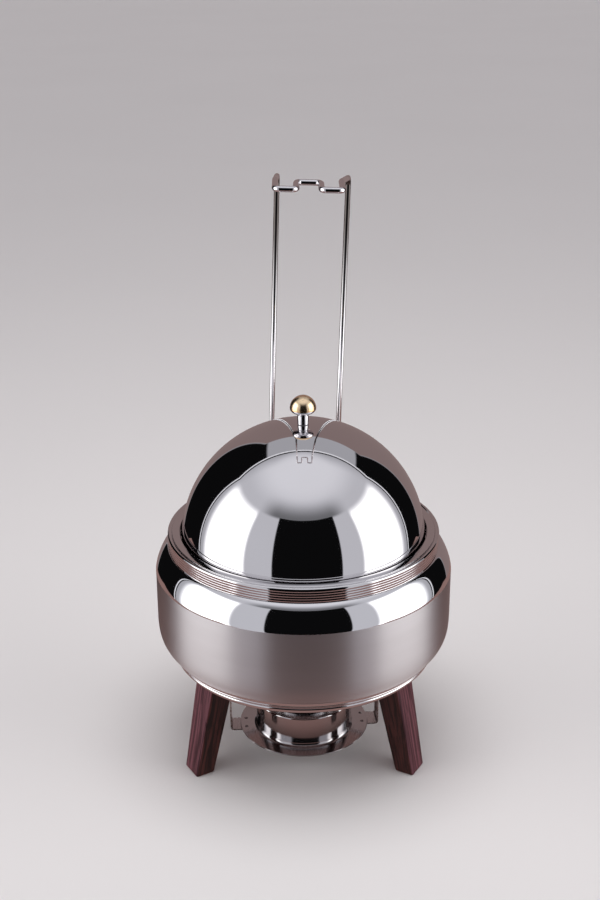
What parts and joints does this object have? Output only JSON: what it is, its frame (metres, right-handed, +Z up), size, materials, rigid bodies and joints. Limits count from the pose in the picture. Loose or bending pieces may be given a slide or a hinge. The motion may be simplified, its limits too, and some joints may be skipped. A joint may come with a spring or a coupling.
{
  "type": "round chafing dish",
  "caption": "Round food warmer: domed lift-off lid with a ball knob, satin drum with lift-out pans, wooden legs, fuel holder and a tall wire hanger that holds the lid.",
  "frame": {"origin": "on the table, under the middle of the whole object's footprint; the drum's axis stands 4.3 mm in front of it", "axes": "+Z up, -Y to the front of the dish, +X to its right seen from the front; the hanger stands at the back, +Y"},
  "size_m": [0.34, 0.3486, 0.6759],
  "materials": {
    "mirror_steel": "mirror-polished stainless steel",
    "brushed_drum_steel": "stainless steel with a fine satin brushing round the wall; its shoulder is mirror-polished",
    "plain_steel": "plain stainless steel sheet and fasteners",
    "plated_wire": "bright plated round wire and bar",
    "polished_brass": "polished brass or gold plating",
    "dark_wood": "dark red-brown hardwood, satin lacquer, grain along the leg",
    "fuel_gel": "translucent pink fuel gel"
  },
  "bodies": {
    "base": {"body_shell": "brushed_drum_steel", "collar_ring": "mirror_steel", "base_ring": "mirror_steel", "base_plate": "plain_steel", "leg_front_left": "dark_wood", "leg_front_left_screw": "plain_steel", "leg_front_right": "dark_wood", "leg_front_right_screw": "plain_steel", "leg_rear": "dark_wood", "leg_rear_screw": "plain_steel", "fuel_holder": "mirror_steel", "holder_strap": "plain_steel", "holder_rivet_1": "plain_steel", "holder_rivet_2": "plain_steel", "holder_rivet_3": "plain_steel", "holder_rivet_4": "plain_steel", "strap_bolt_left": "plain_steel", "strap_bolt_right": "plain_steel", "strap_nut_left": "plain_steel", "strap_nut_right": "plain_steel", "hanger_sleeve_left": "plated_wire", "hanger_sleeve_right": "plated_wire"},
    "water_pan": {"water_pan": "plain_steel"},
    "food_pan": {"food_pan": "plain_steel"},
    "lid": {"lid_dome": "mirror_steel", "knob_ball": "polished_brass", "knob_cup": "plated_wire", "knob_stem": "plated_wire", "knob_washer": "plain_steel", "knob_screw": "plain_steel"},
    "hanger": {"hanger_wire": "plated_wire"},
    "fuel_can": {"fuel_can": "plain_steel", "fuel_gel": "fuel_gel"}
  },
  "joints": [
    {"name": "water_pan_lift", "type": "slide", "parent": "base", "child": "water_pan", "axis": [0, 0, 1], "range_m": [0, 0.085]},
    {"name": "food_pan_lift", "type": "slide", "parent": "water_pan", "child": "food_pan", "axis": [0, 0, 1], "range_m": [0, 0.068]},
    {"name": "lid_lift", "type": "slide", "parent": "food_pan", "child": "lid", "axis": [0, 0, 1], "range_m": [0, 0.06]},
    {"name": "hanger_lift", "type": "slide", "parent": "base", "child": "hanger", "axis": [0.0314, 0, 0.9995], "range_m": [0, 0.05]},
    {"name": "fuel_can_lift", "type": "slide", "parent": "base", "child": "fuel_can", "axis": [0, 0, 1], "range_m": [0, 0.045]}
  ]
}
